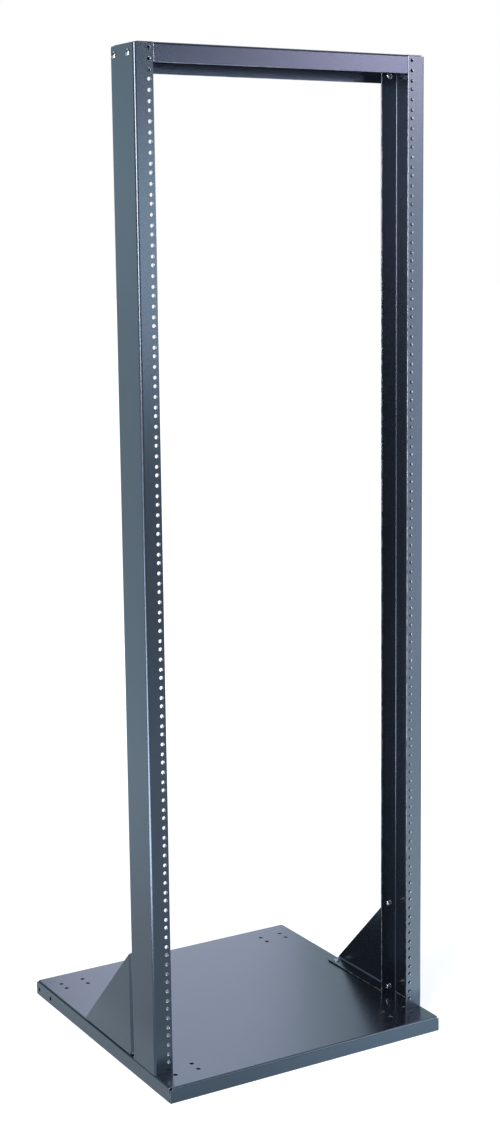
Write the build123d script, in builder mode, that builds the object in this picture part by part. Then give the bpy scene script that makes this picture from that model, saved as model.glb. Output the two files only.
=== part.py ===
from build123d import *
import os

os.makedirs("parts", exist_ok=True)

# Two post open frame rack, in millimetres. X runs across the rack, Y to its back and Z up.
# The origin lies on the floor under the middle of the base.

# Overall sizes
rack_width = 514.35
base_depth = 508.0
base_height = 25.4
post_setback = 50.8

# Rack spaces: three holes in each, at these shares of the space's height
space_height = 44.45
space_count = 35
space_hole_shares = (1 / 7, 1 / 2, 6 / 7)
rack_hole_inset = 7.125
rack_hole_radius = 2.75
hole_side_count = 8

# Uprights: a channel with its web outside and a flange to the front and to the back
post_depth = 76.2
post_flange = 31.75
post_gauge = 2.66
post_bend = 1.6
post_foot_margin = 25.4

# Base tray: a flat top with four flanges turned down
tray_gauge = 2.0
tray_bend = 1.5
tray_seam = 1.0
caster_inset_x = 30.2
caster_inset_y = 39.7
caster_pitch_x = 41.3
caster_pitch_y = 22.2
caster_hole_radius = 3.5
side_hole_inset = 10.2
side_hole_pitch = 47.6
side_hole_radius = 3.8

# Top crossmember: a pan over the posts, with a front bar, a back flange and two end tabs
bar_gauge = 2.0
bar_bend = 1.6
bar_front_height = 28.6
bar_back_height = 38.1
bar_gap = 0.8
bar_clearance = 0.4
bar_corner = 3.0
tab_clearance = 2.5

# Gussets: a triangular web with one flange bolted to the post and one to the base
gusset_height = 177.8
gusset_length = 177.8
gusset_gauge = 2.66
gusset_flange = 25.4
gusset_post_bend = 6.4
gusset_foot_bend = 2.4
gusset_tip = 5.0
gusset_relief = 2.0
gusset_crown = 5.0
gusset_crown_radius = 8.0

# Bolts stand this far from the ends of the sheets that they hold
bolt_radius = 3.3
bolt_margin = 12.7
web_bolt_pitch = 44.45

# Places worked out from the sizes above
side_x = rack_width / 2
post_front = post_setback - base_depth / 2
post_back = post_front + post_depth
post_height = post_foot_margin + space_height * space_count
post_top = base_height + post_height
bar_top = post_top + bar_gauge
flange_bolt_x = side_x - post_flange / 2
foot_bolt_y = post_back + gusset_length - bolt_margin
back_bolt_z = bar_top - bar_back_height + bolt_margin
web_bolt_places = [
    (post_back - bolt_margin, post_top - bolt_margin),
    (post_back - bolt_margin - web_bolt_pitch, post_top - bolt_margin),
]
gusset_bolt_places = [
    (-flange_bolt_x, base_height + bolt_margin),
    (-flange_bolt_x, base_height + gusset_height - bolt_margin),
]


def rack_hole_heights():
    """Heights of the round rack holes, and of those that have few sides."""
    first_space = base_height + post_foot_margin
    round_spaces = (0, space_count // 2, space_count - 1)
    round_heights = []
    sided_heights = [first_space - space_height * space_hole_shares[0]]
    for number in range(space_count):
        lower, middle, upper = (first_space + space_height * (number + s) for s in space_hole_shares)
        sided_heights.append(middle)
        if number in round_spaces:
            round_heights += [lower, upper]
        else:
            sided_heights += [lower, upper]
    return round_heights, sided_heights


def bolt_holes(places):
    """Bolt holes in the current sketch, which the bolt heads cover."""
    with Locations(*places):
        RegularPolygon(bolt_radius, hole_side_count, major_radius=False)


# Base tray: two channels that cross, so that the corners stay open
tray_reach = tray_gauge + tray_bend
tray_mid = tray_gauge / 2 + tray_bend
tray_half_x = side_x - tray_gauge / 2
tray_half_y = base_depth / 2 - tray_gauge / 2
tray_level = base_height - tray_gauge / 2
tray_corner = tray_reach + tray_seam
with BuildPart() as base_tray:
    # Top with the front and back flanges
    with BuildSketch(Plane.YZ):
        with BuildLine():
            FilletPolyline(
                (-tray_half_y, 0),
                (-tray_half_y, tray_level),
                (tray_half_y, tray_level),
                (tray_half_y, 0),
                radius=tray_mid,
            )
        trace(line_width=tray_gauge)
    extrude(amount=side_x - tray_corner, both=True)
    # Top with the side flanges
    with BuildSketch(Plane.XZ):
        with BuildLine():
            FilletPolyline(
                (-tray_half_x, 0),
                (-tray_half_x, tray_level),
                (tray_half_x, tray_level),
                (tray_half_x, 0),
                radius=tray_mid,
            )
        trace(line_width=tray_gauge)
    extrude(amount=base_depth / 2 - tray_corner, both=True)
    # Ends of the front and back flanges, which lap the side flanges at each corner
    with BuildSketch(Plane.XY):
        with Locations((0, -tray_half_y), (0, tray_half_y)):
            Rectangle(rack_width, tray_gauge)
    extrude(amount=base_height - tray_reach)
    # Caster holes near the corners
    caster_x = side_x - caster_inset_x - caster_pitch_x / 2
    caster_y = base_depth / 2 - caster_inset_y - caster_pitch_y / 2
    with BuildSketch(Plane.XY.offset(base_height)):
        with GridLocations(2 * caster_x, 2 * caster_y, 2, 2):
            with GridLocations(caster_pitch_x, caster_pitch_y, 2, 2):
                Circle(caster_hole_radius)
    extrude(amount=-tray_gauge, mode=Mode.SUBTRACT)
    # Holes for the gusset bolts
    with BuildSketch(Plane.XY.offset(base_height)):
        bolt_holes([(-flange_bolt_x, foot_bolt_y), (flange_bolt_x, foot_bolt_y)])
    extrude(amount=-tray_gauge, mode=Mode.SUBTRACT)
    # Two holes through each side flange, near its back end
    side_hole_y = base_depth / 2 - side_hole_inset
    side_hole_z = (base_height - tray_reach) / 2
    with BuildSketch(Plane.YZ.offset(-side_x)):
        with Locations((side_hole_y, side_hole_z), (side_hole_y - side_hole_pitch, side_hole_z)):
            RegularPolygon(side_hole_radius, hole_side_count, major_radius=False)
    extrude(amount=rack_width, mode=Mode.SUBTRACT)


# Uprights: the left one is made, and the right one is its mirror image
with BuildPart() as left_upright:
    # Channel section, run up from the tray
    with BuildSketch(Plane.XY.offset(base_height)):
        with BuildLine():
            FilletPolyline(
                (post_flange - side_x, post_front + post_gauge / 2),
                (post_gauge / 2 - side_x, post_front + post_gauge / 2),
                (post_gauge / 2 - side_x, post_back - post_gauge / 2),
                (post_flange - side_x, post_back - post_gauge / 2),
                radius=post_gauge / 2 + post_bend,
            )
        trace(line_width=post_gauge)
    extrude(amount=post_height)
    # Back flange trimmed at its top, clear of the crossmember's back bend
    with BuildSketch(Plane.XY.offset(post_top)):
        with Locations((post_flange / 2 - side_x, post_back)):
            Rectangle(post_flange, 2 * (post_gauge + post_bend))
    extrude(amount=-bar_bend - bar_clearance, mode=Mode.SUBTRACT)
    # Rack holes down the front flange: round at the ends of three rack spaces
    hole_x = post_flange - rack_hole_inset - side_x
    round_heights, sided_heights = rack_hole_heights()
    with BuildSketch(Plane.XZ.offset(-post_front)):
        with Locations(*[(hole_x, height) for height in round_heights]):
            Circle(rack_hole_radius)
        with Locations(*[(hole_x, height) for height in sided_heights]):
            RegularPolygon(rack_hole_radius, hole_side_count, major_radius=False)
    extrude(amount=-post_gauge, mode=Mode.SUBTRACT)
    # Back flange: two holes for the gusset bolts, and one for the crossmember's
    with BuildSketch(Plane.XZ.offset(-post_back)):
        bolt_holes(gusset_bolt_places + [(-flange_bolt_x, back_bolt_z)])
    extrude(amount=post_gauge, mode=Mode.SUBTRACT)
    # Web: two holes for the bolts into the crossmember's end tab
    with BuildSketch(Plane.YZ.offset(-side_x)):
        bolt_holes(web_bolt_places)
    extrude(amount=post_gauge, mode=Mode.SUBTRACT)

with BuildPart() as right_upright:
    mirror(left_upright.part, about=Plane.YZ)


# Top crossmember: it lies on the posts' flanges, and its end tabs stand inside their webs
bar_reach = bar_gauge + bar_bend
bar_mid = bar_gauge / 2 + bar_bend
bar_level = bar_top - bar_gauge / 2
tab_face = side_x - post_gauge
cap_half = tab_face - bar_reach
front_half = side_x - post_flange - bar_gap
with BuildPart() as top_crossmember:
    # Front bar between the posts, with its lower corners rounded
    with BuildSketch(Plane.YZ):
        with BuildLine():
            FilletPolyline(
                (post_front + bar_reach + bar_gauge, bar_level),
                (post_front + bar_gauge / 2, bar_level),
                (post_front + bar_gauge / 2, bar_top - bar_front_height),
                radius=bar_mid,
            )
        trace(line_width=bar_gauge)
    extrude(amount=front_half, both=True)
    fillet(edges(Select.LAST).filter_by(Axis.Y).group_by(Axis.Z)[0], radius=bar_corner)
    # Cap with the back flange, which hangs behind the posts and has its corners cut
    with BuildSketch(Plane.YZ):
        with BuildLine():
            FilletPolyline(
                (post_front + bar_reach, bar_level),
                (post_back + bar_gauge / 2, bar_level),
                (post_back + bar_gauge / 2, bar_top - bar_back_height),
                radius=bar_mid,
            )
        trace(line_width=bar_gauge)
    extrude(amount=cap_half, both=True)
    chamfer(edges(Select.LAST).filter_by(Axis.Y).group_by(Axis.Z)[0], length=bar_corner)
    # Ears of the cap, which lie on the posts' front flanges
    ear_width = cap_half - front_half - bar_gap
    ear_x = cap_half - ear_width / 2
    with BuildSketch(Plane.XY.offset(post_top)):
        with Locations((-ear_x, post_front + bar_reach / 2), (ear_x, post_front + bar_reach / 2)):
            Rectangle(ear_width, bar_reach)
    extrude(amount=bar_gauge)
    # End tabs with cut corners, turned down inside the webs
    tab_middle = (post_front + post_back) / 2
    tab_width = post_depth - 2 * (post_gauge + post_bend + tab_clearance)
    tab_end = post_top - 2 * bolt_margin
    with BuildSketch(Plane.XZ.offset(-tab_middle)):
        with BuildLine():
            FilletPolyline(
                (-tab_face + bar_gauge / 2, tab_end),
                (-tab_face + bar_gauge / 2, bar_level),
                (tab_face - bar_gauge / 2, bar_level),
                (tab_face - bar_gauge / 2, tab_end),
                radius=bar_mid,
            )
        trace(line_width=bar_gauge)
    extrude(amount=tab_width / 2, both=True)
    chamfer(edges(Select.LAST).filter_by(Axis.X).group_by(Axis.Z)[0], length=bar_corner)
    # Bolt holes through the tabs and the back flange
    with BuildSketch(Plane.YZ.offset(-side_x)):
        bolt_holes(web_bolt_places)
    extrude(amount=rack_width, mode=Mode.SUBTRACT)
    with BuildSketch(Plane.XZ.offset(-post_back)):
        bolt_holes([(-flange_bolt_x, back_bolt_z), (flange_bolt_x, back_bolt_z)])
    extrude(amount=-bar_gauge, mode=Mode.SUBTRACT)


# Gussets: a bent plate behind each post. The left one is made, and the right one mirrored.
gusset_back = post_back + gusset_length
gusset_top = base_height + gusset_height
web_start_y = post_back + gusset_gauge + gusset_post_bend + gusset_relief
web_start_z = base_height + gusset_gauge + gusset_foot_bend + gusset_relief
web_middle = gusset_gauge / 2 - side_x
with BuildPart() as left_gusset:
    # Flange against the post, with its bend and the strip of web beside it
    with BuildSketch(Plane.XY.offset(web_start_z)):
        with BuildLine():
            FilletPolyline(
                (gusset_flange - side_x, post_back + gusset_gauge / 2),
                (web_middle, post_back + gusset_gauge / 2),
                (web_middle, web_start_y),
                radius=gusset_gauge / 2 + gusset_post_bend,
            )
        trace(line_width=gusset_gauge)
    extrude(amount=gusset_top - web_start_z)
    # Foot on the base, with its bend and the strip of web over it
    with BuildSketch(Plane.XZ.offset(-web_start_y)):
        with BuildLine():
            FilletPolyline(
                (gusset_flange - side_x, base_height + gusset_gauge / 2),
                (web_middle, base_height + gusset_gauge / 2),
                (web_middle, web_start_z),
                radius=gusset_gauge / 2 + gusset_foot_bend,
            )
        trace(line_width=gusset_gauge)
    extrude(amount=web_start_y - gusset_back)
    # Web between them, square at first
    with BuildSketch(Plane.YZ.offset(-side_x)):
        with Locations((web_start_y, web_start_z)):
            Rectangle(gusset_back - web_start_y, gusset_top - web_start_z, align=Align.MIN)
    extrude(amount=gusset_gauge)
    # Slope cut across the web and the post bend, rounded into the top of the flange
    with BuildSketch(Plane.YZ.offset(-side_x)):
        with BuildLine():
            Polyline(
                (post_back, base_height),
                (gusset_back, base_height),
                (gusset_back, base_height + gusset_tip),
                (post_back + gusset_crown, gusset_top),
                (post_back, gusset_top),
                close=True,
            )
        make_face()
        fillet(vertices().group_by(Axis.Y)[-1].sort_by(Axis.X)[-1], radius=gusset_crown_radius)
    extrude(amount=gusset_flange, mode=Mode.INTERSECT)
    # Two bolt holes in the flange and one in the foot
    with BuildSketch(Plane.XZ.offset(-post_back)):
        bolt_holes(gusset_bolt_places)
    extrude(amount=-gusset_gauge, mode=Mode.SUBTRACT)
    with BuildSketch(Plane.XY.offset(base_height)):
        bolt_holes([(-flange_bolt_x, foot_bolt_y)])
    extrude(amount=gusset_gauge, mode=Mode.SUBTRACT)

with BuildPart() as right_gusset:
    mirror(left_gusset.part, about=Plane.YZ)


base_tray.part.label = "base_tray"
export_step(base_tray.part, "parts/base_tray.step")

left_upright.part.label = "left_upright"
export_step(left_upright.part, "parts/left_upright.step")

right_upright.part.label = "right_upright"
export_step(right_upright.part, "parts/right_upright.step")

top_crossmember.part.label = "top_crossmember"
export_step(top_crossmember.part, "parts/top_crossmember.step")

left_gusset.part.label = "left_gusset"
export_step(left_gusset.part, "parts/left_gusset.step")

right_gusset.part.label = "right_gusset"
export_step(right_gusset.part, "parts/right_gusset.step")
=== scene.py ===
import math

import bmesh
import bpy
from mathutils import Matrix, Vector
from mathutils.geometry import delaunay_2d_cdt


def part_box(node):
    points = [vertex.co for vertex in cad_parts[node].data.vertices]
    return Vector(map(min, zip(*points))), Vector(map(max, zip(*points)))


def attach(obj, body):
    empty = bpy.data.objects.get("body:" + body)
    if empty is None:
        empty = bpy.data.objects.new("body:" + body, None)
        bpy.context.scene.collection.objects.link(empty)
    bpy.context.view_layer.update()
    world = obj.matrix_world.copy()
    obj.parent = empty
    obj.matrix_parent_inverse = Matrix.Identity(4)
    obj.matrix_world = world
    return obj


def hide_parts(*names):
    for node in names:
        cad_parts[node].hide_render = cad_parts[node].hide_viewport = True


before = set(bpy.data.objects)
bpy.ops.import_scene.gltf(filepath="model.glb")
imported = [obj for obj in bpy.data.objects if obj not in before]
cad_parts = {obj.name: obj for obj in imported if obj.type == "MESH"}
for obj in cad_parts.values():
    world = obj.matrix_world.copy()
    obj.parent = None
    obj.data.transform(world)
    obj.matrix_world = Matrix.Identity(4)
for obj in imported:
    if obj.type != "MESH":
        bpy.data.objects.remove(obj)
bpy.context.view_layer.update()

# Two post open frame rack. Lengths are in metres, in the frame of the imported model.
mm = 0.001
X, Y, Z = Vector((1, 0, 0)), Vector((0, 1, 0)), Vector((0, 0, 1))

# Camera, at the photograph's angle
PHOTO_WIDTH, PHOTO_HEIGHT = 500, 1136
SENSOR = 36.0
FOCAL_PIXELS = 1840.5
CENTRE_X, CENTRE_Y = 258.6, 550.2
YAW, PITCH, ROLL = math.radians(30.63), math.radians(9.43), math.radians(0.63)
EYE = Vector((-1.4981, -2.6367, 1.3175))
CLIP_NEAR, CLIP_FAR = 0.05, 60

look = Vector((math.sin(YAW) * math.cos(PITCH), math.cos(YAW) * math.cos(PITCH), -math.sin(PITCH)))
level_right = Vector((math.cos(YAW), -math.sin(YAW), 0))
level_down = look.cross(level_right)
right = math.cos(ROLL) * level_right + math.sin(ROLL) * level_down
down = math.cos(ROLL) * level_down - math.sin(ROLL) * level_right

camera_data = bpy.data.cameras.new("camera")
camera_data.sensor_width = SENSOR
camera_data.lens = FOCAL_PIXELS * SENSOR / PHOTO_HEIGHT
camera_data.shift_x = (PHOTO_WIDTH / 2 - CENTRE_X) / PHOTO_HEIGHT
camera_data.shift_y = (CENTRE_Y - PHOTO_HEIGHT / 2) / PHOTO_HEIGHT
camera_data.clip_start, camera_data.clip_end = CLIP_NEAR, CLIP_FAR
camera = bpy.data.objects.new("camera", camera_data)
bpy.context.scene.collection.objects.link(camera)
turn = Matrix((right, -down, -look)).transposed()
camera.matrix_world = Matrix.Translation(EYE) @ turn.to_4x4()
bpy.context.scene.camera = camera


# Materials: a span is a range of a noise's value, and a bump has a strength and a height in metres
NOISE_SPAN = (0.3, 0.7)
BLACK, WHITE = (0.0, 0.0, 0.0), (1.0, 1.0, 1.0)
COAT_CLOUD = {"Scale": 7.0, "Detail": 4.0, "Roughness": 0.6}
COAT_SPECK = {"Scale": 620.0, "Detail": 2.0, "Roughness": 0.7}
COAT_PEEL = {"Scale": 330.0, "Detail": 2.0, "Roughness": 0.5}
COAT_DARK, COAT_LIGHT = (0.0030, 0.0040, 0.0060), (0.0055, 0.0070, 0.0100)
SPECK_SPAN, SPECK_COLOUR = (0.55, 0.70), (0.013, 0.015, 0.018, 1)
COAT_ROUGHNESS = (0.18, 0.27)
PEEL_BUMP, GRAIN_BUMP = (0.12, 0.0004), (0.28, 0.0003)
COAT_IOR = 2.0
# The coat's reflections are tinted blue, and violet on the crossmember: painted reflection colour in place of
# coloured light
BLUE_PAINTED_REFLECTION, VIOLET_PAINTED_REFLECTION = (0.60, 0.78, 1.0), (0.56, 0.71, 1.0)
# The chamfers along the sheets' edges are metal in broken stretches: a painted highlight along the edges
EDGE_HIGHLIGHT_STRETCH = {"Scale": 90.0, "Detail": 5.0, "Roughness": 0.6}
EDGE_HIGHLIGHT_SPAN, EDGE_HIGHLIGHT_DARK, EDGE_HIGHLIGHT_LIGHT = (0.38, 0.60), (0.05, 0.06, 0.08), (0.42, 0.45, 0.52)
EDGE_HIGHLIGHT_ROUGHNESS = (0.35, 0.55)
STEEL_PATCH = {"Scale": 260.0, "Detail": 3.0}
STEEL_GRAIN = {"Scale": 1600.0, "Detail": 2.0}
STEEL_SPAN, STEEL_ROUGHNESS, STEEL_BUMP = (0.35, 0.7), (0.14, 0.26), (0.15, 0.0001)
BRIGHT_WALL_DARK, BRIGHT_WALL_LIGHT = (0.72, 0.73, 0.76), (0.90, 0.90, 0.92)
PLATED_DARK, PLATED_LIGHT = (0.32, 0.33, 0.36), (0.52, 0.53, 0.56)


def new_material(name):
    """A material with its node tree and its shader."""
    material = bpy.data.materials.new(name)
    material.use_nodes = True
    return material, material.node_tree, material.node_tree.nodes["Principled BSDF"]


def add(tree, kind, at, **values):
    """A node with its inputs, given by name, and its settings, given with a leading underscore."""
    node = tree.nodes.new(kind)
    node.location = at
    for key, value in values.items():
        if key.startswith("_"):
            setattr(node, key[1:], value)
        else:
            node.inputs[key].default_value = value
    return node


def join(tree, first, second, at, operation):
    """A math node on two outputs, or on an output and a number."""
    node = add(tree, "ShaderNodeMath", at, _operation=operation)
    for socket, value in zip(node.inputs, (first, second)):
        if isinstance(value, (int, float)):
            socket.default_value = value
        else:
            tree.links.new(value, socket)
    return node.outputs[0]


def object_places(tree, at):
    """The place on the object, for textures that stay fixed to it."""
    return add(tree, "ShaderNodeTexCoord", at).outputs["Object"]


def noise(tree, place, at, settings):
    """A noise texture over places."""
    node = add(tree, "ShaderNodeTexNoise", at, **settings)
    tree.links.new(place, node.inputs["Vector"])
    return node.outputs["Fac"]


def ramp(tree, source, at, span, dark, light):
    """A colour ramp from dark to light over a span of an output."""
    node = tree.nodes.new("ShaderNodeValToRGB")
    node.location = at
    first, last = node.color_ramp.elements
    first.position, first.color = span[0], (*dark, 1)
    last.position, last.color = span[1], (*light, 1)
    tree.links.new(source, node.inputs["Fac"])
    return node.outputs["Color"]


def spread(tree, source, at, span, values):
    """A smooth change from the first of two values to the second, over a span of an output."""
    node = add(tree, "ShaderNodeMapRange", at, _interpolation_type="SMOOTHSTEP")
    for key, value in zip(("From Min", "From Max", "To Min", "To Max"), (*span, *values)):
        node.inputs[key].default_value = value
    tree.links.new(source, node.inputs["Value"])
    return node.outputs["Result"]


def bumped(tree, height, at, bump, under=None):
    """The surface's normal with a bump of a height, over another normal where one is given."""
    strength, distance = bump
    node = add(tree, "ShaderNodeBump", at, Strength=strength, Distance=distance)
    tree.links.new(height, node.inputs["Height"])
    if under is not None:
        tree.links.new(under, node.inputs["Normal"])
    return node.outputs["Normal"]


def powder_coat(name, painted_reflection_tint):
    """Glossy near-black powder coat: clouded colour, pale specks, and an orange-peel surface with grain. Its
    reflections are tinted by the given tint, a painted reflection colour.
    """
    material, tree, shader = new_material(name)
    place = object_places(tree, (-1500, 0))
    cloud = noise(tree, place, (-1250, 300), COAT_CLOUD)
    speck = noise(tree, place, (-1250, 0), COAT_SPECK)
    peel = noise(tree, place, (-1250, -300), COAT_PEEL)
    tone = ramp(tree, cloud, (-950, 300), NOISE_SPAN, COAT_DARK, COAT_LIGHT)
    dots = ramp(tree, speck, (-950, 0), SPECK_SPAN, BLACK, WHITE)
    mixed = add(tree, "ShaderNodeMix", (-600, 200), _data_type="RGBA")
    tree.links.new(dots, mixed.inputs["Factor"])
    tree.links.new(tone, mixed.inputs["A"])
    mixed.inputs["B"].default_value = SPECK_COLOUR
    tree.links.new(mixed.outputs["Result"], shader.inputs["Base Color"])
    rough = spread(tree, speck, (-600, -50), NOISE_SPAN, COAT_ROUGHNESS)
    tree.links.new(rough, shader.inputs["Roughness"])
    wave = bumped(tree, peel, (-650, -350), PEEL_BUMP)
    grain = bumped(tree, speck, (-400, -300), GRAIN_BUMP, wave)
    tree.links.new(grain, shader.inputs["Normal"])
    shader.inputs["IOR"].default_value = COAT_IOR
    shader.inputs["Specular Tint"].default_value = (*painted_reflection_tint, 1)
    return material


def painted_edge_highlight(name):
    """Metal on a sheet's chamfered edges, in short stretches from a dark to a light tone: a painted highlight
    along the edges.
    """
    material, tree, shader = new_material(name)
    stretch = noise(tree, object_places(tree, (-1200, 0)), (-950, 0), EDGE_HIGHLIGHT_STRETCH)
    tone = ramp(tree, stretch, (-650, 0), EDGE_HIGHLIGHT_SPAN, EDGE_HIGHLIGHT_DARK, EDGE_HIGHLIGHT_LIGHT)
    tree.links.new(tone, shader.inputs["Base Color"])
    rough = spread(tree, stretch, (-650, -250), NOISE_SPAN, EDGE_HIGHLIGHT_ROUGHNESS)
    tree.links.new(rough, shader.inputs["Roughness"])
    shader.inputs["Metallic"].default_value = 1.0
    return material


def steel(name, dark, light):
    """Bright or plated steel with faint patches between two tones and a fine grain."""
    material, tree, shader = new_material(name)
    place = object_places(tree, (-1200, 0))
    patch = noise(tree, place, (-950, 200), STEEL_PATCH)
    fine = noise(tree, place, (-950, -150), STEEL_GRAIN)
    tone = ramp(tree, patch, (-650, 200), STEEL_SPAN, dark, light)
    tree.links.new(tone, shader.inputs["Base Color"])
    rough = spread(tree, patch, (-650, -50), NOISE_SPAN, STEEL_ROUGHNESS)
    tree.links.new(rough, shader.inputs["Roughness"])
    tree.links.new(bumped(tree, fine, (-650, -300), STEEL_BUMP), shader.inputs["Normal"])
    shader.inputs["Metallic"].default_value = 1.0
    return material


coat = powder_coat("powder_coat_black_painted_blue_reflection", BLUE_PAINTED_REFLECTION)
# A copy of the coat for the crossmember, whose reflections are tinted violet: painted reflection colour
coat_with_painted_violet_reflection = powder_coat("powder_coat_black_painted_violet_reflection", VIOLET_PAINTED_REFLECTION)
edge_highlight_metal = painted_edge_highlight("painted_edge_highlight")
bright_wall_steel = steel("bright_wall_steel", BRIGHT_WALL_DARK, BRIGHT_WALL_LIGHT)
plated = steel("zinc_plated_steel", PLATED_DARK, PLATED_LIGHT)

# Places from the frame
tray_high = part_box("base_tray")[1]
post_low, post_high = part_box("left_upright")
bar_low, bar_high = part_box("top_crossmember")
gusset_low, gusset_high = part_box("left_gusset")
side_x, half_depth = tray_high.x, tray_high.y
base_top = tray_high.z
post_front, post_back = post_low.y, post_high.y
post_top = post_high.z
post_flange = post_high.x - post_low.x
bar_top = bar_high.z
gusset_back, gusset_top = gusset_high.y, gusset_high.z
gusset_flange = gusset_high.x - gusset_low.x
flange_bolt_x = side_x - post_flange / 2

# Sheet gauges with their inside bend radii, and the sizes that a box doesn't give
POST_GAUGE, POST_BEND = 2.66 * mm, 1.6 * mm
TRAY_GAUGE, TRAY_BEND = 2.0 * mm, 1.5 * mm
BAR_GAUGE, BAR_BEND = 2.0 * mm, 1.6 * mm
GUSSET_GAUGE, GUSSET_POST_BEND, GUSSET_FOOT_BEND = 2.66 * mm, 6.4 * mm, 2.4 * mm
POST_FOOT_MARGIN = 25.4 * mm
SPACE, SPACES = 44.45 * mm, 35
SPACE_HOLE_SHARES = (1 / 7, 1 / 2, 6 / 7)
RACK_HOLE_INSET, RACK_HOLE_RADIUS = 7.125 * mm, 2.75 * mm
TRAY_SEAM = 1.0 * mm
CASTER_INSET_X, CASTER_INSET_Y = 30.2 * mm, 39.7 * mm
CASTER_PITCH_X, CASTER_PITCH_Y = 41.3 * mm, 22.2 * mm
CASTER_HOLE_RADIUS = 3.5 * mm
SIDE_HOLE_INSET, SIDE_HOLE_PITCH, SIDE_HOLE_RADIUS = 10.2 * mm, 47.6 * mm, 3.8 * mm
BAR_FRONT_HEIGHT = 28.6 * mm
BAR_GAP, BAR_CLEARANCE, BAR_CORNER, TAB_CLEARANCE = 0.8 * mm, 0.4 * mm, 3.0 * mm, 2.5 * mm
GUSSET_TIP, GUSSET_RELIEF = 5.0 * mm, 2.0 * mm
GUSSET_CROWN, GUSSET_CROWN_RADIUS = 5.0 * mm, 8.0 * mm
BOLT_HOLE_RADIUS, BOLT_MARGIN, WEB_BOLT_PITCH = 3.3 * mm, 12.7 * mm, 44.45 * mm

# Walls of holes up to this radius are bright steel, lighter than the coat round them
BRIGHT_WALL_RADIUS = RACK_HOLE_RADIUS + 0.1 * mm

# How finely the sheets are made: rims are chamfered by EDGE, and a bend has an edge SUPPORT past each end
EDGE = 0.3 * mm
SUPPORT = 0.4 * mm
ARC_STEPS = 10
HOLE_STEPS = 32
CORNER_STEPS = 8
SHARP = math.radians(30)

# Order of the materials on a folded sheet
FINISH, PAINTED_EDGE, BRIGHT_WALL = 0, 1, 2

back_bolt_z = bar_low.z + BOLT_MARGIN
gusset_bolt_heights = (base_top + BOLT_MARGIN, gusset_top - BOLT_MARGIN)
foot_bolt_y = gusset_back - BOLT_MARGIN
web_bolt_places = [
    (post_back - BOLT_MARGIN, post_top - BOLT_MARGIN),
    (post_back - BOLT_MARGIN - WEB_BOLT_PITCH, post_top - BOLT_MARGIN),
]


# Folded sheets
def quarter_turn(gauge, bend):
    """Length of a right-angled bend along the middle of the sheet."""
    return (bend + gauge / 2) * math.pi / 2


class Fold:
    """A bend along one side of a flat sheet. Past line, measured along axis 0 or 1 of the sheet
    towards side, the sheet turns away from its outer face by a right angle."""

    def __init__(self, axis, side, line, gauge, bend, low, high):
        self.axis, self.side, self.line = axis, side, line
        self.radius = bend + gauge / 2
        self.turn = quarter_turn(gauge, bend)
        self.low, self.high = low, high

    def stations(self):
        """Places along the axis where the sheet gets an edge along the bend."""
        arc = [self.turn * k / ARC_STEPS for k in range(ARC_STEPS + 1)]
        steps = [-SUPPORT, *arc, self.turn + SUPPORT]
        return [self.line + self.side * step for step in steps]

    def edges(self):
        """The ends of those edges, in the sheet."""
        for station in self.stations():
            ends = [(station, self.low), (station, self.high)]
            yield [(b, a) for a, b in ends] if self.axis == 1 else ends

    def holds(self, point):
        """Whether a point of the sheet lies past this bend's start."""
        return self.past(point) > 0 and self.low <= point[1 - self.axis] <= self.high

    def past(self, point):
        """How far a point of the sheet lies past this bend's start."""
        return self.side * (point[self.axis] - self.line)

    def bent(self, point, lift):
        """Where a point of the sheet comes to lie in its plane, and how far under that plane."""
        past = self.past(point)
        if past < self.turn:
            angle = past / self.radius
            reach = (self.radius + lift) * math.sin(angle)
            depth = self.radius - (self.radius + lift) * math.cos(angle)
        else:
            reach = self.radius + lift
            depth = self.radius + past - self.turn
        flat = list(point)
        flat[self.axis] = self.line + self.side * reach
        return flat, depth


def rounded(points, radii):
    """A polygon with the corners named in radii, {number: radius}, rounded."""
    made = []
    for number, corner in enumerate(points):
        if number not in radii:
            made.append(corner)
            continue
        here = Vector(corner)
        back = (Vector(points[number - 1]) - here).normalized()
        on = (Vector(points[(number + 1) % len(points)]) - here).normalized()
        half = back.angle(on) / 2
        centre = here + (back + on).normalized() * radii[number] / math.sin(half)
        first = here + back * radii[number] / math.tan(half) - centre
        last = here + on * radii[number] / math.tan(half) - centre
        sweep = -first.angle_signed(last)
        for step in range(CORNER_STEPS + 1):
            made.append(tuple(centre + Matrix.Rotation(sweep * step / CORNER_STEPS, 2) @ first))
    return made


def both_sides(half):
    """An outline from its right half, listed upwards, and the mirror image of that half."""
    return half + [(-a, b) for a, b in reversed(half)]


def shifted(loop, distance):
    """The corners of a closed loop, moved to its right by a distance."""
    moved = []
    for number, corner in enumerate(loop):
        here = Vector(corner)
        before = (here - Vector(loop[number - 1])).normalized()
        after = (Vector(loop[(number + 1) % len(loop)]) - here).normalized()
        first, second = Vector((before.y, -before.x)), Vector((after.y, -after.x))
        moved.append(here + (first + second) * distance / (1 + first.dot(second)))
    return moved


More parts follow.
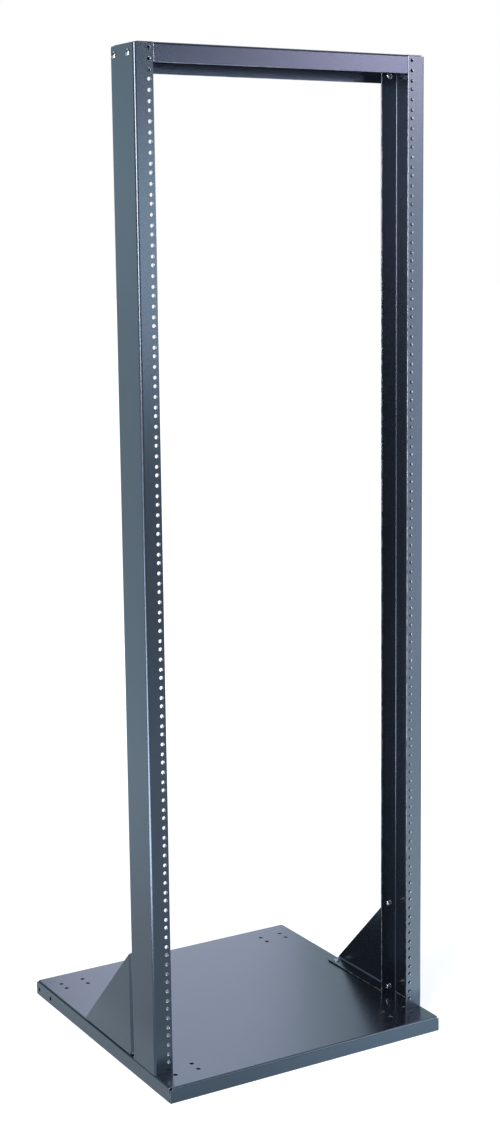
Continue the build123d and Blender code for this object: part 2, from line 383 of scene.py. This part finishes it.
def triangles(outline, holes, folds):
    """The flat pattern, a rim's width inside its edges, as points and counter-clockwise triangles."""
    points = [tuple(p) for p in shifted(outline, -EDGE)]
    edges = [(k, (k + 1) % len(points)) for k in range(len(points))]
    faces = [list(range(len(points)))]
    for (a, b), radius in holes:
        start = len(points)
        wide = radius + EDGE
        for k in range(HOLE_STEPS):
            angle = 2 * math.pi * k / HOLE_STEPS
            points.append((a + wide * math.cos(angle), b + wide * math.sin(angle)))
        loop = list(range(start, start + HOLE_STEPS))
        edges += list(zip(loop, loop[1:] + loop[:1]))
        faces.append(loop)
    for fold in folds:
        for ends in fold.edges():
            edges.append((len(points), len(points) + 1))
            points += ends
    made = delaunay_2d_cdt([Vector(p) / mm for p in points], edges, faces, 1, EDGE * mm)
    flat = [point * mm for point in made[0]]
    cells = [cell for cell, owners in zip(made[2], made[5]) if list(owners) == [0]]
    facing = []
    for a, b, c in cells:
        up = (flat[b] - flat[a]).cross(flat[c] - flat[a]) > 0
        facing.append((a, b, c) if up else (c, b, a))
    return flat, facing


def rims(cells):
    """The closed loops round some triangles, with the sheet on their left."""
    sides = {(cell[k], cell[(k + 1) % 3]) for cell in cells for k in range(3)}
    following = {a: b for a, b in sides if (b, a) not in sides}
    loops = []
    for start in sorted(following):
        loop, here = [], start
        while here in following:
            loop.append(here)
            here = following.pop(here)
        if loop:
            loops.append(loop)
    return loops


def finished(name, made, materials, slot, *replaced):
    """The piece that a bmesh makes: its mesh and materials, what it stands for and its body. slot is not
    used.
    """
    mesh = bpy.data.meshes.new(name)
    made.to_mesh(mesh)
    made.free()
    mesh.shade_smooth()
    mesh.set_sharp_from_angle(angle=SHARP)
    for used in materials:
        mesh.materials.append(used)
    piece = bpy.data.objects.new(name, mesh)
    bpy.context.scene.collection.objects.link(piece)
    if replaced:
        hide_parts(*replaced)
    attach(piece, "root")


def folded_sheet(
    name, node, gauge, outline, holes, folds, origin, along, across, mirror=False, finish=coat
):
    """A bent sheet in place of a node, made from its flat pattern.

    outline is the counter-clockwise edge of the pattern and holes is [((a, b), radius)]. The middle
    of the sheet lies at origin, its axes are along and across, and it faces their cross product.
    """
    flat, cells = triangles(outline, holes, folds)
    loops = rims(cells)
    half = gauge / 2
    outward = along.cross(across)
    made = bmesh.new()

    def vertex(point, lift):
        fold = next((fold for fold in folds if fold.holds(point)), None)
        (a, b), depth = fold.bent(point, lift) if fold else (point, -lift)
        return made.verts.new(origin + along * a + across * b - outward * depth)

    used = sorted({k for cell in cells for k in cell})
    top = {k: vertex(flat[k], half) for k in used}
    bottom = {k: vertex(flat[k], -half) for k in used}
    for cell in cells:
        made.faces.new([top[k] for k in cell])
        made.faces.new([bottom[k] for k in reversed(cell)])
    for loop in loops:
        rim = dict(zip(loop, shifted([flat[k] for k in loop], EDGE)))
        width = max((flat[k] - flat[loop[0]]).length for k in loop)
        wall = BRIGHT_WALL if width < 2 * (BRIGHT_WALL_RADIUS + EDGE) else FINISH
        upper = {k: vertex(point, half - EDGE) for k, point in rim.items()}
        lower = {k: vertex(point, EDGE - half) for k, point in rim.items()}
        for a, b in zip(loop, loop[1:] + loop[:1]):
            for high, low in ((top, upper), (upper, lower), (lower, bottom)):
                face = made.faces.new((high[b], high[a], low[a], low[b]))
                # The two chamfers of each rim get the painted edge highlight, and the wall between them gets
                # the coat, or the bright steel in small holes
                face.material_index = wall if high is upper else PAINTED_EDGE
    if mirror:
        for v in made.verts:
            v.co.x = -v.co.x
        bmesh.ops.reverse_faces(made, faces=made.faces)
    finished(name, made, (finish, edge_highlight_metal, bright_wall_steel), "powder_coat", node)


# Base tray: its top is the flat of the sheet, with a flange folded down at each side
def base_tray():
    reach = TRAY_GAUGE + TRAY_BEND
    turn = quarter_turn(TRAY_GAUGE, TRAY_BEND)
    drop = base_top - reach
    fold_x, fold_y = side_x - reach, half_depth - reach
    notch_x, notch_y = fold_x - TRAY_SEAM, fold_y - TRAY_SEAM
    back_corner = [
        (fold_x + turn + drop, notch_y),
        (notch_x, notch_y),
        (notch_x, fold_y + turn),
        (side_x, fold_y + turn),
        (side_x, fold_y + turn + drop),
    ]
    outline = both_sides([(a, -b) for a, b in reversed(back_corner)] + back_corner)
    side_low = -notch_y - TRAY_SEAM / 2
    folds = [
        Fold(1, -1, -fold_y, TRAY_GAUGE, TRAY_BEND, -side_x, side_x),
        Fold(1, 1, fold_y, TRAY_GAUGE, TRAY_BEND, -side_x, side_x),
        Fold(0, -1, -fold_x, TRAY_GAUGE, TRAY_BEND, side_low, -side_low),
        Fold(0, 1, fold_x, TRAY_GAUGE, TRAY_BEND, side_low, -side_low),
    ]
    holes = []
    side_hole_depth = fold_x + turn + drop / 2
    for side in (-1, 1):
        for end in (-1, 1):
            for a in (0, 1):
                for b in (0, 1):
                    x = side_x - CASTER_INSET_X - a * CASTER_PITCH_X
                    y = half_depth - CASTER_INSET_Y - b * CASTER_PITCH_Y
                    holes.append(((side * x, end * y), CASTER_HOLE_RADIUS))
        holes.append(((side * flange_bolt_x, foot_bolt_y), BOLT_HOLE_RADIUS))
        for step in (0, 1):
            y = half_depth - SIDE_HOLE_INSET - step * SIDE_HOLE_PITCH
            holes.append(((side * side_hole_depth, y), SIDE_HOLE_RADIUS))
    origin = Z * (base_top - TRAY_GAUGE / 2)
    folded_sheet("tray", "base_tray", TRAY_GAUGE, outline, holes, folds, origin, X, Y)


# Uprights: the web is the flat of the sheet, with a flange folded at each side
def upright(name, node, mirror):
    """The pattern's first axis is -Y, so that its outer face looks to -X."""
    reach = POST_GAUGE + POST_BEND
    turn = quarter_turn(POST_GAUGE, POST_BEND)
    front_line, back_line = -post_front - reach, -post_back + reach
    front_end = front_line + turn + post_flange - reach
    back_end = back_line - turn - post_flange + reach
    trim = post_top - BAR_BEND - BAR_CLEARANCE
    outline = [
        (back_end, base_top),
        (front_end, base_top),
        (front_end, post_top),
        (back_line, post_top),
        (back_line, trim),
        (back_end, trim),
    ]
    folds = [
        Fold(0, 1, front_line, POST_GAUGE, POST_BEND, 0, bar_top),
        Fold(0, -1, back_line, POST_GAUGE, POST_BEND, 0, bar_top),
    ]
    first_space = base_top + POST_FOOT_MARGIN
    heights = [first_space - SPACE * SPACE_HOLE_SHARES[0]]
    for number in range(SPACES):
        heights += [first_space + SPACE * (number + share) for share in SPACE_HOLE_SHARES]
    holes = [((front_end - RACK_HOLE_INSET, z), RACK_HOLE_RADIUS) for z in heights]
    for z in (*gusset_bolt_heights, back_bolt_z):
        holes.append(((back_end + post_flange / 2, z), BOLT_HOLE_RADIUS))
    holes += [((-y, z), BOLT_HOLE_RADIUS) for y, z in web_bolt_places]
    origin = X * (POST_GAUGE / 2 - side_x)
    folded_sheet(name, node, POST_GAUGE, outline, holes, folds, origin, -Y, Z, mirror)


# Crossmember: its cap is the flat of the sheet, with a front bar, a back flange and two end tabs
def crossmember():
    reach = BAR_GAUGE + BAR_BEND
    turn = quarter_turn(BAR_GAUGE, BAR_BEND)
    front_line, back_line = post_front + reach, post_back + BAR_GAUGE - reach
    front_half = side_x - post_flange - BAR_GAP
    tab_line = side_x - POST_GAUGE - reach
    front_end = front_line - turn - (BAR_FRONT_HEIGHT - reach)
    back_end = back_line + turn + (bar_top - bar_low.z - reach)
    tab_end = tab_line + turn + (bar_top - reach - (post_top - 2 * BOLT_MARGIN))
    middle = (post_front + post_back) / 2
    tab_half = (post_back - post_front) / 2 - POST_GAUGE - POST_BEND - TAB_CLEARANCE
    half = [
        (front_half, front_end),
        (front_half, front_line),
        (front_half + BAR_GAP, front_line),
        (front_half + BAR_GAP, post_front),
        (tab_line, post_front),
        (tab_line, middle - tab_half),
        (tab_end - BAR_CORNER, middle - tab_half),
        (tab_end, middle - tab_half + BAR_CORNER),
        (tab_end, middle + tab_half - BAR_CORNER),
        (tab_end - BAR_CORNER, middle + tab_half),
        (tab_line, middle + tab_half),
        (tab_line, back_end - BAR_CORNER),
        (tab_line - BAR_CORNER, back_end),
    ]
    outline = both_sides(half)
    outline = rounded(outline, {0: BAR_CORNER, len(outline) - 1: BAR_CORNER})
    past_tab = middle + tab_half + SUPPORT
    folds = [
        Fold(1, -1, front_line, BAR_GAUGE, BAR_BEND, -front_half - EDGE, front_half + EDGE),
        Fold(1, 1, back_line, BAR_GAUGE, BAR_BEND, -side_x, side_x),
        Fold(0, -1, -tab_line, BAR_GAUGE, BAR_BEND, 2 * middle - past_tab, past_tab),
        Fold(0, 1, tab_line, BAR_GAUGE, BAR_BEND, 2 * middle - past_tab, past_tab),
    ]
    holes = []
    back_depth = back_line + turn + (bar_top - reach - back_bolt_z)
    for side in (-1, 1):
        holes.append(((side * flange_bolt_x, back_depth), BOLT_HOLE_RADIUS))
        for y, z in web_bolt_places:
            holes.append(((side * (tab_line + turn + bar_top - reach - z), y), BOLT_HOLE_RADIUS))
    origin = Z * (bar_top - BAR_GAUGE / 2)
    # The crossmember gets the copy of the coat with painted violet reflections
    folded_sheet(
        "crossmember", "top_crossmember", BAR_GAUGE, outline, holes, folds, origin, X, Y, finish=coat_with_painted_violet_reflection
    )


# Gussets: a triangular web is the flat of the sheet, with a flange on the post and a foot on the base
def slope_height(y):
    """Height of the gusset's sloping edge at y, with the round that leads it into the flange's top."""
    rise = gusset_top - base_top - GUSSET_TIP
    run = gusset_back - post_back - GUSSET_CROWN
    angle = math.atan2(rise, run)
    start = post_back + GUSSET_CROWN - GUSSET_CROWN_RADIUS * math.tan(angle / 2)
    if y <= start:
        return gusset_top
    if y < start + GUSSET_CROWN_RADIUS * math.sin(angle):
        drop = math.sqrt(GUSSET_CROWN_RADIUS ** 2 - (y - start) ** 2)
        return gusset_top - GUSSET_CROWN_RADIUS + drop
    return base_top + GUSSET_TIP + (gusset_back - y) * rise / run


def gusset(name, node, mirror):
    """The pattern's first axis is -Y, so that its outer face looks to -X."""
    post_reach, foot_reach = GUSSET_GAUGE + GUSSET_POST_BEND, GUSSET_GAUGE + GUSSET_FOOT_BEND
    post_turn = quarter_turn(GUSSET_GAUGE, GUSSET_POST_BEND)
    foot_turn = quarter_turn(GUSSET_GAUGE, GUSSET_FOOT_BEND)
    post_line, foot_line = -post_back - post_reach, base_top + foot_reach
    post_end = post_line + post_turn + gusset_flange - post_reach
    foot_end = foot_line - foot_turn - gusset_flange + foot_reach
    web_start = post_line - GUSSET_RELIEF
    outline = [
        (-gusset_back, foot_end),
        (web_start, foot_end),
        (web_start, foot_line + GUSSET_RELIEF),
        (post_end, foot_line + GUSSET_RELIEF),
        (post_end, gusset_top),
    ]
    radius = GUSSET_POST_BEND + GUSSET_GAUGE / 2
    for step in range(ARC_STEPS, -1, -1):
        angle = math.pi / 2 * step / ARC_STEPS
        height = slope_height(-post_line - radius * math.sin(angle))
        outline.append((post_line + radius * angle, height))
    outline.append((-gusset_back, base_top + GUSSET_TIP))
    folds = [
        Fold(0, 1, post_line, GUSSET_GAUGE, GUSSET_POST_BEND, 0, gusset_top + EDGE),
        Fold(1, -1, foot_line, GUSSET_GAUGE, GUSSET_FOOT_BEND, -half_depth, half_depth),
    ]
    flange_middle = post_end - gusset_flange + post_flange / 2
    holes = [((flange_middle, z), BOLT_HOLE_RADIUS) for z in gusset_bolt_heights]
    holes.append(((-foot_bolt_y, foot_end + gusset_flange - post_flange / 2), BOLT_HOLE_RADIUS))
    origin = X * (GUSSET_GAUGE / 2 - side_x)
    folded_sheet(name, node, GUSSET_GAUGE, outline, holes, folds, origin, -Y, Z, mirror)


base_tray()
upright("post_left", "left_upright", False)
upright("post_right", "right_upright", True)
crossmember()
gusset("brace_left", "left_gusset", False)
gusset("brace_right", "right_gusset", True)

# Bolts, each with its washer and nut
HEAD_RADIUS, HEAD_HEIGHT, HEAD_WALL = 5.6 * mm, 3.4 * mm, 0.9 * mm
SOCKET_RADIUS, SOCKET_DEPTH, DRILL_DEPTH = 1.7 * mm, 1.9 * mm, 0.4 * mm
SHANK_RADIUS, THREAD_PITCH, THREAD_DEPTH = 3.1 * mm, 1.27 * mm, 0.3 * mm
WASHER_RADIUS, WASHER_THICKNESS = 6.2 * mm, 0.9 * mm
NUT_WIDTH, NUT_HEIGHT = 11.1 * mm, 5.0 * mm
SHANK_END = 1.3 * mm
FINE = 0.2 * mm
ROUND_STEPS = 48
DOME_STEPS = 10


def ring(made, at, turn_to, radius_at, height):
    """Vertices round an axis at a height, at the radius that radius_at gives for each angle."""
    vertices = []
    for k in range(ROUND_STEPS):
        angle = 2 * math.pi * k / ROUND_STEPS
        radius = radius_at(angle)
        place = Vector((radius * math.cos(angle), radius * math.sin(angle), height))
        vertices.append(made.verts.new(at + turn_to @ place))
    return vertices


def skin(made, rings):
    """Faces between each two rings in a row. A ring of one vertex closes an end."""
    for low, high in zip(rings, rings[1:]):
        for k in range(ROUND_STEPS):
            after = (k + 1) % ROUND_STEPS
            corners = [low[k % len(low)], low[after % len(low)]]
            corners += [high[after % len(high)], high[k % len(high)]]
            made.faces.new(list(dict.fromkeys(corners)))


def circle(radius):
    """The radius of a circle at an angle."""
    return lambda angle: radius


def turned(made, profile, at, axis):
    """Adds what a profile of (radius, height) makes when it is turned about an axis."""
    turn_to = axis.to_track_quat("Z", "Y").to_matrix()
    rings = []
    for radius, height in profile:
        if radius == 0:
            rings.append([made.verts.new(at + turn_to @ Vector((0, 0, height)))])
        else:
            rings.append(ring(made, at, turn_to, circle(radius), height))
    skin(made, rings)


def hexagon(width):
    """The radius of a hexagon at an angle, for its width across flats."""
    return lambda angle: width / 2 / math.cos((angle + math.pi / 6) % (math.pi / 3) - math.pi / 6)


def head(made, at, axis):
    """A domed head with a hexagonal socket in its middle."""
    turn_to = axis.to_track_quat("Z", "Y").to_matrix()
    rise = HEAD_HEIGHT - HEAD_WALL
    sphere = (HEAD_RADIUS ** 2 + rise ** 2) / (2 * rise)
    lip = SOCKET_RADIUS * 2 / math.sqrt(3) + FINE
    profile = [(HEAD_RADIUS - FINE, 0), (HEAD_RADIUS, FINE), (HEAD_RADIUS, HEAD_WALL)]
    for step in range(1, DOME_STEPS + 1):
        radius = HEAD_RADIUS + (lip - HEAD_RADIUS) * step / DOME_STEPS
        profile.append((radius, HEAD_HEIGHT - sphere + math.sqrt(sphere ** 2 - radius ** 2)))
    top = profile[-1][1]
    rings = [[made.verts.new(at)]]
    rings += [ring(made, at, turn_to, circle(radius), height) for radius, height in profile]
    rings.append(ring(made, at, turn_to, hexagon(2 * SOCKET_RADIUS), top - FINE))
    rings.append(ring(made, at, turn_to, hexagon(2 * SOCKET_RADIUS), top - SOCKET_DEPTH))
    rings.append([made.verts.new(at + axis * (top - SOCKET_DEPTH - DRILL_DEPTH))])
    skin(made, rings)


def nut(made, at, axis):
    """A hexagonal nut with turned corners and a bore for the thread."""
    turn_to = axis.to_track_quat("Z", "Y").to_matrix()
    flats = hexagon(NUT_WIDTH)
    corner = NUT_WIDTH / math.sqrt(3)
    cut = 2 * FINE

    def cut_corner(angle):
        return min(flats(angle), corner - cut)

    face, bore, lead = circle(NUT_WIDTH / 2 - FINE), circle(SHANK_RADIUS), circle(SHANK_RADIUS + FINE)
    levels = [(bore, FINE), (lead, 0), (face, 0), (cut_corner, cut), (flats, 2 * cut)]
    levels += [(flats, NUT_HEIGHT - 2 * cut), (cut_corner, NUT_HEIGHT - cut), (face, NUT_HEIGHT)]
    levels += [(lead, NUT_HEIGHT), (bore, NUT_HEIGHT - FINE)]
    rings = [ring(made, at, turn_to, radius_at, height) for radius_at, height in levels]
    skin(made, rings + rings[:1])


def bolt(name, at, axis, grip):
    """A bolt with its head at a place, through sheets grip thick, with a washer and nut behind them."""
    made = bmesh.new()
    head(made, at, axis)
    behind = at - axis * grip
    inner = SHANK_RADIUS + FINE
    washer = [(inner, 0), (WASHER_RADIUS, 0)]
    washer += [(WASHER_RADIUS, WASHER_THICKNESS), (inner, WASHER_THICKNESS)]
    turned(made, washer + washer[:1], behind, -axis)
    nut(made, behind - axis * WASHER_THICKNESS, -axis)
    length = grip + WASHER_THICKNESS + NUT_HEIGHT + SHANK_END
    shank = [(0, 0), (SHANK_RADIUS - THREAD_DEPTH, 0)]
    for number in range(int((length - grip) / THREAD_PITCH)):
        shank.append((SHANK_RADIUS, (number + 1 / 2) * THREAD_PITCH))
        shank.append((SHANK_RADIUS - THREAD_DEPTH, (number + 1) * THREAD_PITCH))
    shank += [(SHANK_RADIUS, shank[-1][1] + THREAD_DEPTH), (SHANK_RADIUS, length), (0, length)]
    turned(made, shank, at - axis * length, axis)
    bmesh.ops.recalc_face_normals(made, faces=made.faces)
    finished(name, made, (plated,), "zinc_bolt")


for side, label in ((-1, "left"), (1, "right")):
    for number, (y, z) in enumerate(web_bolt_places, 1):
        place = Vector((side * side_x, y, z))
        bolt(f"bolt_web_{label}_{number}", place, side * X, POST_GAUGE + BAR_GAUGE)
    inner_face = post_back - POST_GAUGE
    back_place = Vector((side * flange_bolt_x, inner_face, back_bolt_z))
    bolt(f"bolt_back_{label}", back_place, -Y, POST_GAUGE + BAR_GAUGE)
    for number, z in enumerate(gusset_bolt_heights, 1):
        place = Vector((side * flange_bolt_x, inner_face, z))
        bolt(f"bolt_gusset_{label}_{number}", place, -Y, POST_GAUGE + GUSSET_GAUGE)
    foot_place = Vector((side * flange_bolt_x, foot_bolt_y, base_top + GUSSET_GAUGE))
    bolt(f"bolt_foot_{label}", foot_place, Z, GUSSET_GAUGE + TRAY_GAUGE)


# Floor: pale near the rack and white further off. Glossy surfaces see it dimmer, with a strip round the tray.
def ray_kinds(tree, at):
    """Two values, each 1 or 0: for camera rays, and for those from a glossy surface or glass."""
    path = add(tree, "ShaderNodeLightPath", at)
    glossy, passed = path.outputs["Is Glossy Ray"], path.outputs["Is Transmission Ray"]
    mirrored = join(tree, glossy, passed, (at[0] + 200, at[1]), "MAXIMUM")
    return path.outputs["Is Camera Ray"], mirrored


def mirrored_tint(tree, mirrored, at):
    """White, but slightly blue for the rays that mirrored picks out."""
    tint = add(tree, "ShaderNodeMix", at, _data_type="RGBA")
    tint.inputs["A"].default_value = (*WHITE, 1)
    tint.inputs["B"].default_value = MIRRORED_TINT
    tree.links.new(mirrored, tint.inputs["Factor"])
    return tint.outputs["Result"]


def beyond(tree, source, size, at):
    """How far an output is from nought, less a size."""
    distance = join(tree, source, 0.0, at, "ABSOLUTE")
    return join(tree, distance, size, (at[0] + 200, at[1]), "SUBTRACT")


FLOOR_REACH = 40.0
FLOOR_COLOUR, FLOOR_ROUGHNESS = (0.55, 0.64, 0.70, 1), 0.9
FADE_SPAN, FADE_GLOWS = (0.7, 2.2), (0.70, 1.0)
DEPTH_SPAN, DEPTH_GLOWS = (-0.1, 1.5), (0.12, 0.62)
STRIP_WIDTH, STRIP_GLOWS = 0.06, (0.20, 0.85)
MIRRORED_TINT = (0.80, 1.02, 1.13, 1)
UNDER_TRAY = 6 * mm

floor_mesh = bpy.data.meshes.new("floor")
corners = [(-FLOOR_REACH, -FLOOR_REACH, 0), (FLOOR_REACH, -FLOOR_REACH, 0)]
corners += [(FLOOR_REACH, FLOOR_REACH, 0), (-FLOOR_REACH, FLOOR_REACH, 0)]
floor_mesh.from_pydata(corners, [], [(0, 1, 2, 3)])
floor = bpy.data.objects.new("floor", floor_mesh)
bpy.context.scene.collection.objects.link(floor)
material, tree, shader = new_material("pale_floor")
shader.inputs["Base Color"].default_value = FLOOR_COLOUR
shader.inputs["Roughness"].default_value = FLOOR_ROUGHNESS
shader.inputs["Specular IOR Level"].default_value = 0.0
place = object_places(tree, (-1700, -500))
length = add(tree, "ShaderNodeVectorMath", (-1500, -350), _operation="LENGTH")
tree.links.new(place, length.inputs[0])
axes = add(tree, "ShaderNodeSeparateXYZ", (-1500, -600))
tree.links.new(place, axes.inputs["Vector"])
seen, mirrored = ray_kinds(tree, (-1500, -900))
fade = spread(tree, length.outputs["Value"], (-1200, -350), FADE_SPAN, FADE_GLOWS)
for_camera = join(tree, fade, seen, (-900, -350), "MULTIPLY")
# off is how far a place is outside the tray, and nothing glows under it, where the holes would show that
off_x = beyond(tree, axes.outputs["X"], side_x, (-1200, -800))
off_y = beyond(tree, axes.outputs["Y"], half_depth, (-1200, -1000))
off = join(tree, off_x, off_y, (-800, -900), "MAXIMUM")
outside = spread(tree, off, (-600, -900), (-UNDER_TRAY, -UNDER_TRAY / 2), (0.0, 1.0))
near = spread(tree, off, (-600, -1100), (STRIP_WIDTH, 2 * STRIP_WIDTH), (1.0, 0.0))
strip = spread(tree, axes.outputs["X"], (-600, -1300), (-side_x, side_x), STRIP_GLOWS)
strip = join(tree, near, strip, (-500, -1200), "MULTIPLY")
depth_fade = spread(tree, axes.outputs["Y"], (-1200, -600), DEPTH_SPAN, DEPTH_GLOWS)
reflected = join(tree, depth_fade, strip, (-500, -700), "ADD")
for_mirror = join(tree, reflected, mirrored, (-400, -800), "MULTIPLY")
total = join(tree, for_camera, for_mirror, (-500, -450), "ADD")
strength = join(tree, total, outside, (-400, -500), "MULTIPLY")
glow = add(tree, "ShaderNodeEmission", (-100, -300))
tree.links.new(mirrored_tint(tree, mirrored, (-300, -150)), glow.inputs["Color"])
tree.links.new(strength, glow.inputs["Strength"])
both = add(tree, "ShaderNodeAddShader", (250, 0))
tree.links.new(shader.outputs["BSDF"], both.inputs[0])
tree.links.new(glow.outputs["Emission"], both.inputs[1])
tree.links.new(both.outputs["Shader"], tree.nodes["Material Output"].inputs["Surface"])
floor_mesh.materials.append(material)

# World: a white backdrop. Glossy surfaces see it bluish, and dimmer in front, to the left and in a band.
PLAIN = 0.25
FRONT_SPAN, DIM_FRONT = (-0.6, 0.3), 0.36
LEFT_SPAN, DIM_LEFT = (-0.95, -0.75), 0.20
BAND_HEIGHT, BAND_SPAN, DIM_BAND = 0.36, (0.08, 0.30), 0.05

world = bpy.data.worlds.new("studio")
world.use_nodes = True
bpy.context.scene.world = world
tree = world.node_tree
backdrop = tree.nodes["Background"]
direction = add(tree, "ShaderNodeTexCoord", (-1500, 0)).outputs["Generated"]
axes = add(tree, "ShaderNodeSeparateXYZ", (-1300, 0))
tree.links.new(direction, axes.inputs["Vector"])
behind = spread(tree, axes.outputs["Y"], (-1100, 100), FRONT_SPAN, (DIM_FRONT, 1.0))
aside = spread(tree, axes.outputs["X"], (-1100, 300), LEFT_SPAN, (DIM_LEFT, 1.0))
height = join(tree, axes.outputs["Z"], BAND_HEIGHT, (-1300, -200), "SUBTRACT")
height = join(tree, height, 0.0, (-1200, -200), "ABSOLUTE")
above = spread(tree, height, (-1050, -150), BAND_SPAN, (DIM_BAND, 1.0))
sweep = join(tree, behind, aside, (-1000, 200), "MULTIPLY")
sweep = join(tree, sweep, above, (-900, 0), "MULTIPLY")
seen, mirrored = ray_kinds(tree, (-1300, -400))
for_camera = join(tree, seen, 1 - PLAIN, (-700, -200), "MULTIPLY")
for_mirror = join(tree, sweep, PLAIN, (-700, 0), "SUBTRACT")
for_mirror = join(tree, mirrored, for_mirror, (-500, 0), "MULTIPLY")
total = join(tree, for_camera, for_mirror, (-300, -100), "ADD")
total = join(tree, total, PLAIN, (-150, -100), "ADD")
tree.links.new(total, backdrop.inputs["Strength"])
tree.links.new(mirrored_tint(tree, mirrored, (-150, 200)), backdrop.inputs["Color"])


# Lamps: softboxes round the rack, and two panels on the floor, to its right front and to its left
def softbox(name, place, target, width, height, radiance, colour):
    """A softbox at a place that faces a target. The camera doesn't see it."""
    data = bpy.data.lights.new(name, "AREA")
    data.shape = "RECTANGLE"
    data.size, data.size_y = width, height
    data.energy = radiance * math.pi * width * height
    data.color = colour
    lamp = bpy.data.objects.new(name, data)
    lamp.location = place
    lamp.rotation_mode = "QUATERNION"
    lamp.rotation_quaternion = (Vector(target) - Vector(place)).to_track_quat("-Z", "Y")
    lamp.visible_camera = False
    bpy.context.scene.collection.objects.link(lamp)
    return lamp


PANEL_HEIGHT, PANEL_TARGET_HEIGHT = 0.01, 1.0


def floor_panel(name, x, y, turn, width, length, radiance, colour):
    """A panel that lies on the floor and shines up, turned by an angle in degrees from the depth axis."""
    place, target = (x, y, PANEL_HEIGHT), (x, y, PANEL_TARGET_HEIGHT)
    panel = softbox(name, place, target, width, length, radiance, colour)
    face_up = Matrix.Rotation(math.pi, 3, "X").to_quaternion()
    panel.rotation_quaternion = Matrix.Rotation(math.radians(turn), 3, "Z").to_quaternion() @ face_up


softbox(
    "left_softbox", (-2.12, -1.70, 1.75), (0, 0, 1.2),
    width=1.1, height=1.5, radiance=18.0, colour=(1.0, 0.86, 0.80),
)
softbox(
    "right_softbox", (2.30, -1.95, 1.35), (0, 0, 1.1),
    width=2.0, height=2.6, radiance=2.1, colour=(0.95, 0.92, 1.0),
)
softbox(
    "crown_softbox", (2.15, -2.50, 2.12), (0.2, -0.2, 1.6),
    width=1.25, height=0.75, radiance=4.7, colour=(1.0, 0.68, 0.74),
)
softbox(
    "fill_softbox", (-1.97, -2.52, 1.80), (0, 0, 1.3),
    width=0.7, height=1.1, radiance=3.0, colour=(0.80, 0.88, 1.0),
)
softbox(
    "front_softbox", (1.10, -2.90, 1.31), (-0.2, -0.2, 1.3),
    width=0.9, height=0.80, radiance=3.0, colour=(0.88, 0.95, 1.0),
)
softbox(
    "back_softbox", (1.29, 2.73, 1.30), (0, 0, 0.8),
    width=0.95, height=1.9, radiance=1.68, colour=(0.84, 0.85, 1.0),
)
softbox(
    "back_right_softbox", (2.09, 2.25, 1.30), (0, 0, 0.8),
    width=0.9, height=1.9, radiance=0.75, colour=(0.72, 0.88, 0.94),
)
floor_panel(
    "right_panel", 1.32, -1.66, 35.5,
    width=0.55, length=3.4, radiance=1.6, colour=(0.96, 0.97, 0.95),
)
floor_panel(
    "left_panel", -3.86, -1.24, -75,
    width=1.5, length=6.0, radiance=9.0, colour=(0.96, 0.90, 1.0),
)

bpy.context.scene.view_settings.view_transform = "Standard"
